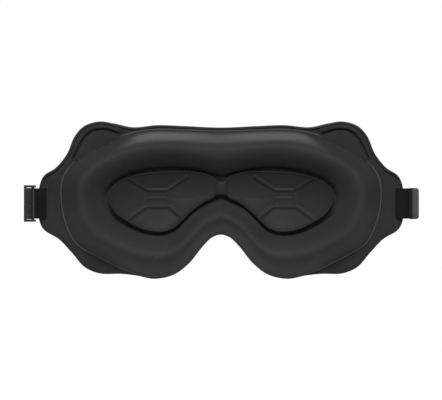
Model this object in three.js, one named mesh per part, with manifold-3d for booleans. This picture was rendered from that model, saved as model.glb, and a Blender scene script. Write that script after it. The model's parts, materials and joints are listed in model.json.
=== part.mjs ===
// Contoured sleep eye mask with two elastic half straps, in millimetres.
// +Z up as worn, +X towards the wearer's left, -Y is the outer face and +Y the wearer's side.
// The origin is on the midplane, at the height of the straps, on the mask's flat base plane.
import * as THREE from 'three';
import { mergeVertices } from 'three/addons/utils/BufferGeometryUtils.js';
import Module from 'manifold-3d';

// Driving dimensions.
const HALF_WIDTH = 120;
const WRAP_DEPTH = 12; // how far the wing ends curve back round the face
const CLEAR = 0.3; // gap between pieces that touch
const SEAT_GAP = 0.7; // gap between the lining's facets and the pieces that sit on it
const STATIONS = 64; // points round the mask's outline
const INNER_SHARES = [0.78, 0.58, 0.32]; // rings that every body layer shares, so that they nest

const COVER_THICK = 1.2;
const DOME_RISE = 7; // how far the foam pushes the front cover out
const DOME_FALL = 4; // power of the dome's fall towards its edge
const FOAM_BACK = 0.6;
const FOAM_SHARE = 0.88; // outline of the foam and the blackout layer as a share of the dome's
const BLACKOUT_FRONT = 0.9;
const BLACKOUT_THICK = 0.6;
const BLACKOUT_INSET = 5.5; // least distance in from the mask's edge
const LINING_THICK = 1.2;
const LINING_STEP = 1.5; // how far the lining stands back over the inner layers
const LINING_RAMP = 4; // width of the slope from the edge up to that step
const WING_FLAT = 112; // past this |x| the lining lies flat on the cover
const WING_RAMP = 7; // width of the slope from there up to the step

const CUSHION_HEIGHT = 17;
const CUSHION_SKIN = 1.2;
const CUSHION_STATIONS = 56;
const CREST = 0.47; // the crest's share of the way across the ring
const HALF_STEPS = 4;
const OUTER_SOFTNESS = 1.25; // above 1 lets the outer slope start gently
const INNER_SOFTNESS = 1;

const CUP_THICK = 1;
const CUP_DISH = 4.5; // how far the cup's rim stands over its middle
const CUP_CENTRE = [38, 3];
const BRIDGE = { halfWidth: 2.2, low: 5, high: 15 };

const WELT = { inset: 0.2, width: 1.4, earExtra: 2.2, thick: 0.8 };
const EAR_PAD_THICK = 1.4;

const SLOT = { inner: 114.6, outer: 117, halfHeight: 11 };
const SLOT_TRIM = { width: 1.8, halfHeight: 12, thick: 0.8 };

const STRAP_WIDTH = 20;
const STRAP_THICK = 1.2;
const BAR_X = (SLOT.outer + HALF_WIDTH) / 2;
const BAR_Y = 11.75;
const LOOP_RADIUS = 3.05; // strap's centreline round the bar
const EXIT_ANGLE = THREE.MathUtils.degToRad(50); // way the strap leaves the bar, from +X to +Y
const NIP = 9; // where the two layers meet, from the bar's axis
const STRAP_X = 127;
const LAYER_GAP = STRAP_THICK + 0.35; // centre to centre of two layers

const SLIDER = { y: 34, length: 12, rail: 1.5, outerBar: 2, thick: 1.5, rodRadius: 1 };
const RETURN_THICK = 1;
const ROD_LOOP_RADIUS = SLIDER.rodRadius + CLEAR + RETURN_THICK / 2;
const TACK = { length: 1.8, thick: 0.5, width: 18 }; // its length is the slider's tack's
const PATCH = { thick: 1, width: 19 };

// Half outlines from the top of the midplane down to the nose notch, as [x, z].
const OUTLINE = [
  [0, 50.2], [24, 51.2], [42, 51.8], [58, 50.4], [70, 52.8], [80, 54.2], [90, 51.3], [96.5, 44.5],
  [101.5, 33], [109, 23.6], [116.5, 18.6], [119.6, 12], [120, 0], [119.6, -12], [116.5, -17.6],
  [107, -23.5], [98, -33], [90, -42], [80, -46.2], [66, -46.5], [56, -47.6], [44, -49.8],
  [31, -47], [21, -39.5], [12, -28.4], [6, -22.6], [0, -20.6],
];
const DOME = [
  [0, 49], [24, 50], [42, 50.3], [58, 48], [69, 45.2], [80, 40.6], [91, 33.8], [100, 27], [108, 20],
  [113, 13], [114, 0], [112.5, -13], [102, -24.3], [90, -30.6], [75, -37.9], [61, -44], [44, -48.4],
  [31, -45.6], [21, -38], [12, -27], [6, -21.2], [0, -19.2],
];
// The ring cushion's outer and inner edges, matched one to one.
const RING_OUTER = [
  [0, 48], [24, 48.8], [46, 49], [64, 45.4], [80, 38.5], [96, 29], [104.6, 16], [105.4, 0],
  [101.5, -16], [95, -27], [80, -36], [62, -44.5], [43, -48.6], [29, -45.2], [18.5, -35.8],
  [10, -25.2], [0, -19.4],
];
const RING_INNER = [
  [0, 18.5], [20, 24], [38, 25], [52, 23], [64, 19.5], [73, 13.5], [77.5, 7], [78, 0], [75, -7],
  [69, -12.5], [61, -17], [51, -20.8], [39, -21.8], [29.5, -18.5], [22, -11], [14, -3.4], [0, 2],
];
// One eye cup's rim, for the wearer's left eye, all the way round.
const CUP_RIM = [
  [74, 2.6], [72.4, 9.9], [64, 15.9], [50, 19.8], [28, 21.2], [11, 19.8], [4.4, 16.8], [2.6, 11],
  [4.6, 4.6], [11, 1.2], [18, -3.8], [26, -11.4], [31, -15.9], [39, -18.5], [51, -17], [62, -11.6],
  [70, -5.8],
];
const EAR_PAD = [
  [69, 45.6], [73.5, 48], [79.5, 49.2], [85.2, 47.9], [90.2, 43.2], [94.4, 35.8], [96.2, 31],
  [89, 35.4], [81, 40], [75, 43],
];

const mirrorX = ([x, z]) => [-x, z];
const smooth = (t) => THREE.MathUtils.smoothstep(t, 0, 1);
const wrap = (x) => WRAP_DEPTH * (x / HALF_WIDTH) ** 2;

/** Evenly spaced points on a smooth closed curve through the given [x, z] points. */
function closedCurve(points, count) {
  const knots = points.map(([x, z]) => new THREE.Vector3(x, z, 0));
  const curve = new THREE.CatmullRomCurve3(knots, true, 'centripetal');
  return curve.getSpacedPoints(count).slice(0, count).map((p) => [p.x, p.y]);
}

/** A half outline and its mirror image, as one closed list. */
const bothHalves = (half) => [...half, ...half.slice(1, -1).reverse().map(mirrorX)];

/** How far a closed curve lies from the origin along a direction. */
function radiusAt(curve, angle) {
  const [dx, dz] = [Math.cos(angle), Math.sin(angle)];
  for (let i = 0; i < curve.length; i += 1) {
    const [ax, az] = curve[i];
    const [bx, bz] = curve[(i + 1) % curve.length];
    const sideA = dx * az - dz * ax;
    const sideB = dx * bz - dz * bx;
    const share = sideA / (sideA - sideB);
    const reach = dx * (ax + share * (bx - ax)) + dz * (az + share * (bz - az));
    if (sideA * sideB <= 0 && sideA !== sideB && reach > 0) {
      return reach;
    }
  }
  throw new Error('the curve does not surround the origin');
}

const outline = closedCurve(bothHalves(OUTLINE), STATIONS);
const fineOutline = closedCurve(bothHalves(OUTLINE), STATIONS * 6);
const fineDome = closedCurve(bothHalves(DOME), STATIONS * 6);
const angles = outline.map(([x, z]) => Math.atan2(z, x));
const outlineRadius = outline.map(([x, z]) => Math.hypot(x, z));
const domeRadius = angles.map((a, i) => Math.min(radiusAt(fineDome, a), outlineRadius[i] - 1));

/** How far the dome stands out at a share of the way from the middle to its edge. */
const domeAt = (share) => DOME_RISE * (1 - Math.min(share, 1) ** DOME_FALL);

/** The lining's back face, before the wrap, at an x and a distance in from the mask's edge. */
const liningBack = (x, inFromEdge) => CLEAR + LINING_THICK
  + LINING_STEP * smooth(inFromEdge / LINING_RAMP) * smooth((WING_FLAT - Math.abs(x)) / WING_RAMP);

/** The lining's back face at a point. */
function liningAt(x, z) {
  return liningBack(x, radiusAt(fineOutline, Math.atan2(z, x)) - Math.hypot(x, z));
}

const LINING_HIGH = liningBack(0, LINING_RAMP); // over the inner layers
const LINING_LOW = liningBack(HALF_WIDTH, 0); // at the edge and in the wings

/** A closed body from rows of points that each close on themselves, with capped ends or a full turn. */
function loft(rows, { turn = false } = {}) {
  const size = rows[0].length;
  const index = [];
  const last = turn ? rows.length : rows.length - 1;
  for (let r = 0; r < last; r += 1) {
    const next = (r + 1) % rows.length;
    for (let i = 0; i < size; i += 1) {
      const j = (i + 1) % size;
      const [a, b, c, d] = [r * size + i, r * size + j, next * size + j, next * size + i];
      index.push(a, b, c, a, c, d);
    }
  }
  if (!turn) {
    const end = (rows.length - 1) * size;
    for (let i = 1; i < size - 1; i += 1) {
      index.push(0, i + 1, i, end, end + i, end + i + 1);
    }
  }
  return solid(rows.flat(), index);
}

/** A geometry from [x, y, z] points and triangles, with its faces turned outwards. */
function solid(points, index) {
  const geometry = new THREE.BufferGeometry();
  geometry.setAttribute('position', new THREE.Float32BufferAttribute(points.flat(), 3));
  geometry.setIndex(index);
  if (volume(geometry) < 0) {
    geometry.setIndex(index.map((v, i) => index[i - (i % 3) + [0, 2, 1][i % 3]]));
  }
  geometry.computeVertexNormals();
  return geometry;
}

/** The signed volume of an indexed geometry. */
function volume(geometry) {
  const at = geometry.getAttribute('position');
  const { array } = geometry.getIndex();
  const [a, b, c] = [new THREE.Vector3(), new THREE.Vector3(), new THREE.Vector3()];
  let total = 0;
  for (let i = 0; i < array.length; i += 3) {
    a.fromBufferAttribute(at, array[i]);
    b.fromBufferAttribute(at, array[i + 1]);
    c.fromBufferAttribute(at, array[i + 2]);
    total += a.dot(b.cross(c)) / 6;
  }
  return total;
}

/** A closed sheet of rings about a centre. Each ring is a list of {x, z, front, back}. */
function sheet(rings, middle) {
  const size = rings[0].length;
  const count = rings.length * size;
  const flat = [...rings.flat(), middle];
  const front = flat.map((p) => [p.x, wrap(p.x) + p.front, p.z]);
  const back = flat.map((p) => [p.x, wrap(p.x) + p.back, p.z]);
  const offset = flat.length;
  const index = [];
  for (let i = 0; i < size; i += 1) {
    const j = (i + 1) % size;
    for (let r = 0; r < rings.length - 1; r += 1) {
      const [a, b, c, d] = [r * size + i, r * size + j, (r + 1) * size + j, (r + 1) * size + i];
      index.push(a, b, c, a, c, d);
      index.push(offset + a, offset + c, offset + b, offset + a, offset + d, offset + c);
    }
    const inner = (rings.length - 1) * size;
    index.push(inner + i, inner + j, count, offset + inner + j, offset + inner + i, offset + count);
    index.push(i, offset + i, j, j, offset + i, offset + j);
  }
  return solid([...front, ...back], index);
}

/** A ring of a body sheet, at a radius and with faces worked out for each direction. */
function bodyRing(radiusOf, front, back) {
  return angles.map((angle, i) => {
    const r = radiusOf(i);
    return {
      x: r * Math.cos(angle), z: r * Math.sin(angle), front: front(r, i), back: back(r, i),
    };
  });
}

function frontCover() {
  const inner = (r, i) => -domeAt(r / domeRadius[i]);
  const outer = (r, i) => inner(r, i) - COVER_THICK;
  const rings = [
    bodyRing((i) => outlineRadius[i], outer, inner),
    ...[1, 0.92, ...INNER_SHARES].map((s) => bodyRing((i) => s * domeRadius[i], outer, inner)),
  ];
  return sheet(rings, { x: 0, z: 0, front: -DOME_RISE - COVER_THICK, back: -DOME_RISE });
}

function frontFoam() {
  const front = (r, i) => CLEAR - domeAt(r / domeRadius[i]);
  const back = () => FOAM_BACK;
  const shares = [FOAM_SHARE, ...INNER_SHARES];
  const rings = shares.map((s) => bodyRing((i) => s * domeRadius[i], front, back));
  return sheet(rings, { x: 0, z: 0, front: CLEAR - DOME_RISE, back: FOAM_BACK });
}

function blackoutLayer() {
  const front = () => BLACKOUT_FRONT;
  const back = () => BLACKOUT_FRONT + BLACKOUT_THICK;
  const edge = (i) => Math.min(FOAM_SHARE * domeRadius[i], outlineRadius[i] - BLACKOUT_INSET);
  const rings = [
    bodyRing(edge, front, back),
    ...INNER_SHARES.map((s) => bodyRing((i) => s * domeRadius[i], front, back)),
  ];
  return sheet(rings, { x: 0, z: 0, front: front(), back: back() });
}

function backLining() {
  const back = (r, i) => liningBack(r * Math.cos(angles[i]), outlineRadius[i] - r);
  const front = (r, i) => back(r, i) - LINING_THICK;
  const shoulder = (i) =>
    Math.min(FOAM_SHARE * domeRadius[i], outlineRadius[i] - LINING_RAMP - CLEAR);
  const rings = [
    ...[0, LINING_RAMP / 2, LINING_RAMP].map((d) =>
      bodyRing((i) => outlineRadius[i] - d, front, back)),
    bodyRing(shoulder, front, back),
    ...INNER_SHARES.map((s) => bodyRing((i) => s * domeRadius[i], front, back)),
  ];
  return sheet(rings, { x: 0, z: 0, front: LINING_HIGH - LINING_THICK, back: LINING_HIGH });
}

/** The cushion's section, as shares of its width and of its height: up to the crest and down. */
const cushionRises = Array.from({ length: 2 * HALF_STEPS + 1 }, (_, k) => {
  const outside = k <= HALF_STEPS;
  const climb = 1 - Math.abs(k / HALF_STEPS - 1);
  const across = outside ? CREST * climb : 1 - (1 - CREST) * climb;
  const softness = outside ? OUTER_SOFTNESS : INNER_SOFTNESS;
  return [across, Math.sin((Math.PI * climb) / 2) ** softness];
});

/** One section of the ring cushion, from its outer edge over the crest to its inner edge. */
function cushionSection(outer, inner, inset) {
  const width = Math.hypot(inner[0] - outer[0], inner[1] - outer[1]);
  return cushionRises.map(([across, rise]) => {
    const share = (inset + across * (width - 2 * inset)) / width;
    const x = outer[0] + share * (inner[0] - outer[0]);
    const z = outer[1] + share * (inner[1] - outer[1]);
    const seat = wrap(x) + liningAt(x, z) + SEAT_GAP;
    return [x, seat + rise * (CUSHION_HEIGHT - inset), z];
  });
}

/** The matched stations of the ring's two edges, evenly spaced and closed. */
function ringStations() {
  const knots = bothHalves(RING_OUTER).map((p, i) => [p, bothHalves(RING_INNER)[i]]);
  const edge = (side) => new THREE.CatmullRomCurve3(
    knots.map((pair) => new THREE.Vector3(pair[side][0], pair[side][1], 0)), true, 'centripetal');
  const [outer, inner] = [edge(0), edge(1)];
  return Array.from({ length: CUSHION_STATIONS }, (_, i) => {
    const t = i / CUSHION_STATIONS;
    const [a, b] = [outer.getPoint(t), inner.getPoint(t)];
    return [[a.x, a.y], [b.x, b.y]];
  });
}

function cushionCover() {
  const rows = ringStations().map(([outer, inner]) => [
    ...cushionSection(outer, inner, 0),
    ...cushionSection(outer, inner, CUSHION_SKIN).reverse(),
  ]);
  return loft(rows, { turn: true });
}

function cushionCore() {
  const inset = CUSHION_SKIN + 2 * CLEAR;
  const rows = ringStations().map(([outer, inner]) => cushionSection(outer, inner, inset));
  return loft(rows, { turn: true });
}

/** A dished eye cup. Side is 1 for the wearer's left and -1 for the right. */
function eyeCup(side) {
  const rim = closedCurve(CUP_RIM, 36);
  const [cx, cz] = CUP_CENTRE;
  const floor = LINING_HIGH + SEAT_GAP;
  const at = (x, z, share) => {
    const front = floor + CUP_DISH * share ** 2.5;
    return { x: side * x, z, front, back: front + CUP_THICK };
  };
  const rings = [1, 0.85, 0.6, 0.3].map((s) =>
    rim.map(([x, z]) => at(cx + s * (x - cx), cz + s * (z - cz), s)));
  return sheet(rings, at(cx, cz, 0));
}

/** A flat plate between two depths, following the wrap, from an [x, z] outline. */
function plate(points, front, thick) {
  const shape = new THREE.Shape(points.map(([x, z]) => new THREE.Vector2(x, z)));
  const geometry = new THREE.ExtrudeGeometry(shape, { depth: thick, bevelEnabled: false });
  const at = geometry.getAttribute('position');
  for (let i = 0; i < at.count; i += 1) {
    const [x, z, deep] = [at.getX(i), at.getY(i), at.getZ(i)];
    at.setXYZ(i, x, wrap(x) + front + deep, z);
  }
  return outward(geometry);
}

/** Merges a geometry's vertices and turns its faces outwards. */
function outward(geometry) {
  geometry.deleteAttribute('normal');
  geometry.deleteAttribute('uv');
  const merged = mergeVertices(geometry, 1e-3);
  const { array } = merged.getAttribute('position');
  const points = Array.from({ length: array.length / 3 }, (_, i) => [...array.slice(3 * i, 3 * i + 3)]);
  return solid(points, [...merged.getIndex().array]);
}

const cupBridge = () => plate(
  [[-1, 0], [1, 0], [1, 1], [-1, 1]].map(([x, t]) => [
    x * BRIDGE.halfWidth, BRIDGE.low + t * (BRIDGE.high - BRIDGE.low)]),
  LINING_HIGH + SEAT_GAP + CUP_DISH, CUP_THICK);

const earPad = (side) => plate(
  closedCurve(EAR_PAD, 28).map(([x, z]) => [side * x, z]),
  LINING_HIGH + SEAT_GAP, EAR_PAD_THICK);

/** The raised rim along the upper edge, from one wing over both ears to the other. */
function rimWelt() {
  const spans = fineOutline.filter(([, z], i) => i % 4 === 0 && z > 16.5);
  spans.sort((a, b) => a[0] - b[0]);
  const rows = spans.map(([x, z]) => {
    const ear = THREE.MathUtils.clamp((Math.abs(x) - 60) / 40, 0, 1);
    const width = WELT.width + WELT.earExtra * Math.sin(Math.PI * ear) ** 2;
    const reach = Math.hypot(x, z);
    const at = (inset, lift) => {
      const share = (reach - inset) / reach;
      const y = wrap(share * x) + liningBack(share * x, inset) + SEAT_GAP + lift;
      return [share * x, y, share * z];
    };
    const inner = WELT.inset + width;
    return [at(WELT.inset, 0), at(inner, 0), at(inner, WELT.thick), at(WELT.inset, WELT.thick)];
  });
  return loft(rows);
}

const slotTrim = (side) => {
  const [near, far] = [SLOT.inner - CLEAR - SLOT_TRIM.width, SLOT.inner - CLEAR];
  const h = SLOT_TRIM.halfHeight;
  const points = [[near, -h], [far, -h], [far, h], [near, h]].map(([x, z]) => [side * x, z]);
  return plate(points, LINING_LOW + SEAT_GAP, SLOT_TRIM.thick);
};

const lib = await Module();
lib.setup();

const toManifold = (geometry) => {
  const merged = outward(geometry.clone());
  return new lib.Manifold(new lib.Mesh({
    numProp: 3,
    vertProperties: new Float32Array(merged.getAttribute('position').array),
    triVerts: new Uint32Array(merged.getIndex().array),
  }));
};

const fromManifold = (body) => {
  const mesh = body.getMesh();
  const geometry = new THREE.BufferGeometry();
  geometry.setAttribute('position', new THREE.BufferAttribute(mesh.vertProperties, 3));
  geometry.setIndex([...mesh.triVerts]);
  geometry.computeVertexNormals();
  return geometry;
};

/** A box between two corners. */
function box([x0, y0, z0], [x1, y1, z1]) {
  const geometry = new THREE.BoxGeometry(x1 - x0, y1 - y0, z1 - z0);
  return geometry.translate((x0 + x1) / 2, (y0 + y1) / 2, (z0 + z1) / 2);
}

/** Cuts both strap slots through a body sheet. */
function withSlots(geometry) {
  const cut = [1, -1].map((side) => {
    const [a, b] = [side * SLOT.inner, side * SLOT.outer];
    const through = 30;
    return toManifold(box(
      [Math.min(a, b), -through, -SLOT.halfHeight], [Math.max(a, b), through, SLOT.halfHeight]));
  });
  return fromManifold(toManifold(geometry).subtract(cut[0]).subtract(cut[1]));
}

/** A path moved sideways, to the right of its own direction for positive distances. */
function sideways(path, distance) {
  return path.map((p, i) => {
    const before = path[Math.max(i - 1, 0)];
    const after = path[Math.min(i + 1, path.length - 1)];
    const way = after.clone().sub(before).normalize();
    return new THREE.Vector2(p.x + distance * way.y, p.y - distance * way.x);
  });
}

/** A flat tape on edge: a path in the XY plane, given a thickness and a height along Z. */
function tape(path, thick, height, side) {
  const ends = [...sideways(path, thick / 2), ...sideways(path, -thick / 2).reverse()];
  const shape = new THREE.Shape(ends.map((p) => new THREE.Vector2(side * p.x, p.y)));
  const geometry = new THREE.ExtrudeGeometry(shape, { depth: height, bevelEnabled: false });
  return outward(geometry.translate(0, 0, -height / 2));
}

const bar = new THREE.Vector2(BAR_X, BAR_Y);
const exitWay = new THREE.Vector2(Math.cos(EXIT_ANGLE), Math.sin(EXIT_ANGLE));
const exitSide = new THREE.Vector2(Math.sin(EXIT_ANGLE), -Math.cos(EXIT_ANGLE));
const fromBar = (along, across) =>
  bar.clone().addScaledVector(exitWay, along).addScaledVector(exitSide, across);

/** The strap's turn round the bar, from the inner layer to the outer one. */
function barTurn() {
  const steps = 12;
  return Array.from({ length: steps + 1 }, (_, i) => {
    const turn = EXIT_ANGLE + Math.PI / 2 + (Math.PI * i) / steps;
    return bar.clone().add(
      new THREE.Vector2(Math.cos(turn), Math.sin(turn)).multiplyScalar(LOOP_RADIUS));
  });
}

/** The strap's long run, from where its layers meet to its free end. */
function longRun() {
  const bend = new THREE.CatmullRomCurve3([
    fromBar(NIP, LAYER_GAP / 2), new THREE.Vector2(STRAP_X - 0.5, 22.5),
    new THREE.Vector2(STRAP_X, 27),
  ].map((p) => new THREE.Vector3(p.x, p.y, 0)));
  const curl = new THREE.CubicBezierCurve(
    new THREE.Vector2(STRAP_X, 110), new THREE.Vector2(STRAP_X, 140),
    new THREE.Vector2(STRAP_X - 2, 165), new THREE.Vector2(STRAP_X - 6, 190));
  return [
    ...bend.getPoints(5).map((p) => new THREE.Vector2(p.x, p.y)),
    new THREE.Vector2(STRAP_X, 68),
    ...curl.getPoints(6),
  ];
}

const run = longRun();

/** The tape of one half strap: its turn round the bar and its long run. */
const strap = (side, tail) =>
  tape([...tail, ...barTurn(), ...run], STRAP_THICK, STRAP_WIDTH, side);

/** The right strap's short end, which lies along the inside of the run and is sewn to it. */
const sewnTail = sideways(run.slice(0, 6), -LAYER_GAP).reverse();

/** The layer that comes back from the bar and is sewn round the slider's middle rod. */
function strapReturn() {
  const x = STRAP_X - LAYER_GAP;
  const rod = new THREE.Vector2(x - ROD_LOOP_RADIUS, SLIDER.y);
  const steps = 10;
  const turn = Array.from({ length: steps + 1 }, (_, i) => {
    const angle = (1.5 * Math.PI * i) / steps;
    return rod.clone().add(
      new THREE.Vector2(Math.cos(angle), Math.sin(angle)).multiplyScalar(ROD_LOOP_RADIUS));
  });
  const start = fromBar(NIP - 0.6, -LAYER_GAP / 2);
  const path = [start, new THREE.Vector2(x - 0.5, 23), new THREE.Vector2(x, 27), ...turn];
  return tape(path, RETURN_THICK, STRAP_WIDTH - 1, 1);
}

function slider() {
  const outerFace = STRAP_X + STRAP_THICK / 2 + CLEAR;
  const rodX = STRAP_X - LAYER_GAP - ROD_LOOP_RADIUS;
  const half = SLIDER.length / 2;
  const inside = STRAP_WIDTH / 2 + 0.5;
  const [near, far] = [SLIDER.y - half, SLIDER.y + half];
  const rails = [1, -1].map((up) => box(
    [rodX - 2 * SLIDER.rodRadius, near, Math.min(up * inside, up * (inside + SLIDER.rail))],
    [outerFace + SLIDER.thick, far, Math.max(up * inside, up * (inside + SLIDER.rail))]));
  const bars = [near, far - SLIDER.outerBar].map((y) => box(
    [outerFace, y, -inside - 0.5], [outerFace + SLIDER.thick, y + SLIDER.outerBar, inside + 0.5]));
  const rod = new THREE.CylinderGeometry(
    SLIDER.rodRadius, SLIDER.rodRadius, 2 * inside + 1, 16);
  rod.rotateX(Math.PI / 2).translate(rodX, SLIDER.y, 0);
  const [first, ...others] = [...rails, ...bars, rod].map(toManifold);
  return fromManifold(others.reduce((whole, piece) => whole.add(piece), first));
}

/** A short thick line of stitches across a strap's face. */
const tackOnSlider = () => {
  const face = STRAP_X - LAYER_GAP - RETURN_THICK / 2 - CLEAR;
  const y = SLIDER.y - SLIDER.length / 2;
  return box([face - TACK.thick, y, -TACK.width / 2], [face, y + TACK.length, TACK.width / 2]);
};

const tackOnRight = () => {
  const face = sideways(run.slice(0, 3), STRAP_THICK / 2 + CLEAR + TACK.thick / 2);
  return tape(face.slice(1), TACK.thick, TACK.width, -1);
};

/** A fastener patch on one face of a strap, near its free end. */
function patch(side, firstPoint, face) {
  const path = sideways(run.slice(firstPoint), face * (STRAP_THICK / 2 + CLEAR + PATCH.thick / 2));
  return tape(path, PATCH.thick, PATCH.width, side);
}

const LOOKS = {
  cover: { color: 0x2e2e30, roughness: 0.85 },
  lining: { color: 0x2a2a2c, roughness: 0.9 },
  foam: { color: 0x4a4a4c, roughness: 0.95 },
  blackout: { color: 0x141414, roughness: 0.7 },
  cushion: { color: 0x2f2f31, roughness: 0.85 },
  cup: { color: 0x232325, roughness: 0.8 },
  webbing: { color: 0x1d1d1e, roughness: 0.95 },
  thread: { color: 0x262628, roughness: 0.9 },
  plastic: { color: 0x151516, roughness: 0.45 },
};

const mask = new THREE.Group();

/** Adds one named piece to the mask. */
function add(name, geometry, look) {
  const mesh = new THREE.Mesh(geometry, new THREE.MeshStandardMaterial({ ...LOOKS[look], metalness: 0 }));
  mesh.name = name;
  mask.add(mesh);
}

add('front_cover', withSlots(frontCover()), 'cover');
add('front_foam', frontFoam(), 'foam');
add('blackout_layer', blackoutLayer(), 'blackout');
add('back_lining', withSlots(backLining()), 'lining');
add('rim_welt', rimWelt(), 'lining');
add('cushion_cover', cushionCover(), 'cushion');
add('cushion_core', cushionCore(), 'foam');
add('cup_bridge', cupBridge(), 'cup');
for (const [name, side] of [['left', 1], ['right', -1]]) {
  add(`eye_cup_${name}`, eyeCup(side), 'cup');
  add(`ear_pad_${name}`, earPad(side), 'lining');
  add(`slot_trim_${name}`, slotTrim(side), 'thread');
}
add('strap_left', strap(1, [fromBar(NIP - 0.9, -LAYER_GAP / 2)]), 'webbing');
add('strap_right', strap(-1, sewnTail), 'webbing');
add('strap_left_return', strapReturn(), 'webbing');
add('slider', slider(), 'plastic');
add('bartack_left', tackOnSlider(), 'thread');
add('bartack_right', tackOnRight(), 'thread');
add('hook_patch', patch(1, 9, -1), 'webbing');
add('loop_patch', patch(-1, 8, 1), 'webbing');

export default mask;
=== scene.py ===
"""Contoured sleep eye mask, dressed round its CAD frame.

The body is a set of nested layers that share one outline: a domed front, its foam, a blackout
layer and a lining. The ring cushion, the eye cups, the ear pads and the rim sit on the lining,
and an elastic half strap is looped round a bar at each end.
"""

from __future__ import annotations

import json
import logging
import math
from collections.abc import Callable, Sequence
from dataclasses import dataclass, field
from enum import Enum

import bmesh
import bpy
import numpy as np
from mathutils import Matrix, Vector, noise


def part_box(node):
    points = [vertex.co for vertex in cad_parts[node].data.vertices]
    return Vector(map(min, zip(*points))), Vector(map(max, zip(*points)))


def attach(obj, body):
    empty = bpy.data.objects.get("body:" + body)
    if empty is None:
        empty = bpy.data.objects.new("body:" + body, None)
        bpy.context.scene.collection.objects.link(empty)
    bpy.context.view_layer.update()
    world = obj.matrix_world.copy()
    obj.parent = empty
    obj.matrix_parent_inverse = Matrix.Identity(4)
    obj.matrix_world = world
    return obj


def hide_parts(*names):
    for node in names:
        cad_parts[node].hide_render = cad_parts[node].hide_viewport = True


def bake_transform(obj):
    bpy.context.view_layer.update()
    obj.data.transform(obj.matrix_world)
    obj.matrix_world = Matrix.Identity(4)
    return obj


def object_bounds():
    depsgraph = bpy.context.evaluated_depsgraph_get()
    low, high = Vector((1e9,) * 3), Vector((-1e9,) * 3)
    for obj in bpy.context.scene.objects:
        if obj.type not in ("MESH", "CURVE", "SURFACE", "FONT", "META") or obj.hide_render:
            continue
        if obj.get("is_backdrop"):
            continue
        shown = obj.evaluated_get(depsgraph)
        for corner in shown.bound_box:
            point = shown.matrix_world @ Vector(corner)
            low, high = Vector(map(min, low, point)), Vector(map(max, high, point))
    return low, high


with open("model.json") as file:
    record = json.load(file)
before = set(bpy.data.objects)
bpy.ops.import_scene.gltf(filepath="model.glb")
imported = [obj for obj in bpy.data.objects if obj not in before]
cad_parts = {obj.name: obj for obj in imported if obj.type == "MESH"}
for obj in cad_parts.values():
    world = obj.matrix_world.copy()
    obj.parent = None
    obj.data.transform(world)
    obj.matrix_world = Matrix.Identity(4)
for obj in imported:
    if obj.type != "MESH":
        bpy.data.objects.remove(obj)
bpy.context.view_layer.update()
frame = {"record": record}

logging.basicConfig(level=logging.INFO, format="%(message)s")
LOG = logging.getLogger("sleep_mask")

MM = 0.001
Grid = np.ndarray

# Half outlines from the top of the midplane down to the nose notch, in millimetres as (x, z).
OUTLINE = (
    (0, 50.2), (24, 51.2), (42, 51.8), (58, 50.4), (70, 52.8), (80, 54.2), (90, 51.3),
    (96.5, 44.5), (101.5, 33), (109, 23.6), (116.5, 18.6), (119.6, 12), (120, 0), (119.6, -12),
    (116.5, -17.6), (107, -23.5), (98, -33), (90, -42), (80, -46.2), (66, -46.5), (56, -47.6),
    (44, -49.8), (31, -47), (21, -39.5), (12, -28.4), (6, -22.6), (0, -20.6),
)
DOME = (
    (0, 49), (24, 50), (42, 50.3), (58, 48), (69, 45.2), (80, 40.6), (91, 33.8), (100, 27),
    (108, 20), (113, 13), (114, 0), (112.5, -13), (102, -24.3), (90, -30.6), (75, -37.9),
    (61, -44), (44, -48.4), (31, -45.6), (21, -38), (12, -27), (6, -21.2), (0, -19.2),
)
# The ring cushion's outer and inner edges, matched one to one.
RING_OUTER = (
    (0, 48), (24, 48.8), (46, 49), (64, 45.4), (80, 38.5), (96, 29), (104.6, 16), (105.4, 0),
    (101.5, -16), (95, -27), (80, -36), (62, -44.5), (43, -48.6), (29, -45.2), (18.5, -35.8),
    (10, -25.2), (0, -19.4),
)
RING_INNER = (
    (0, 18.5), (20, 24), (38, 25), (52, 23), (64, 19.5), (73, 13.5), (77.5, 7), (78, 0),
    (75, -7), (69, -12.5), (61, -17), (51, -20.8), (39, -21.8), (29.5, -18.5), (22, -11),
    (14, -3.4), (0, 2),
)
# One eye cup's rim and one ear pad, for the wearer's left, all the way round.
CUP_RIM = (
    (74, 2.6), (72.4, 9.9), (64, 15.9), (50, 19.8), (28, 21.2), (11, 19.8), (4.4, 16.8),
    (2.6, 11), (4.6, 4.6), (11, 1.2), (18, -3.8), (26, -11.4), (31, -15.9), (39, -18.5),
    (51, -17), (62, -11.6), (70, -5.8),
)
EAR_PAD = (
    (65.5, 42.5), (69.5, 45.8), (74, 47.6), (79.5, 48.2), (84.6, 46.9), (89.2, 42.6),
    (93.2, 35.6), (96.2, 29), (93, 25.5), (86, 29.5), (78, 34), (70.5, 38),
)
# The outer side of the groove round an ear pad.
EAR_GROOVE = (
    (65.4, 45.6), (69.5, 47.9), (74.2, 49.3), (79.6, 49.7), (85.6, 48.4), (90.8, 43.8),
    (94.9, 36.4), (98.4, 28.6),
)


class Side(Enum):
    """The wearer's two sides, with the sign of their x."""

    LEFT = 1
    RIGHT = -1

    @property
    def word(self) -> str:
        """The side's name, as pieces, nodes and joints write it."""
        return self.name.lower()


# ---------------------------------------------------------------- curves and meshes


def smooth(t: float | Grid) -> float | Grid:
    """Eases from 0 to 1 as t does.

    Args:
        t: The share, clipped to 0..1.

    Returns:
        The eased share.
    """
    t = np.clip(t, 0.0, 1.0)
    return t * t * (3 - 2 * t)


def both_halves(half: Sequence[tuple[float, float]]) -> Grid:
    """Adds the mirror image of a half outline.

    Args:
        half: Points from the top of the midplane to its bottom.

    Returns:
        The closed outline's points.
    """
    mirrored = [(-x, z) for x, z in reversed(half[1:-1])]
    return np.array([*half, *mirrored], float)


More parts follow.
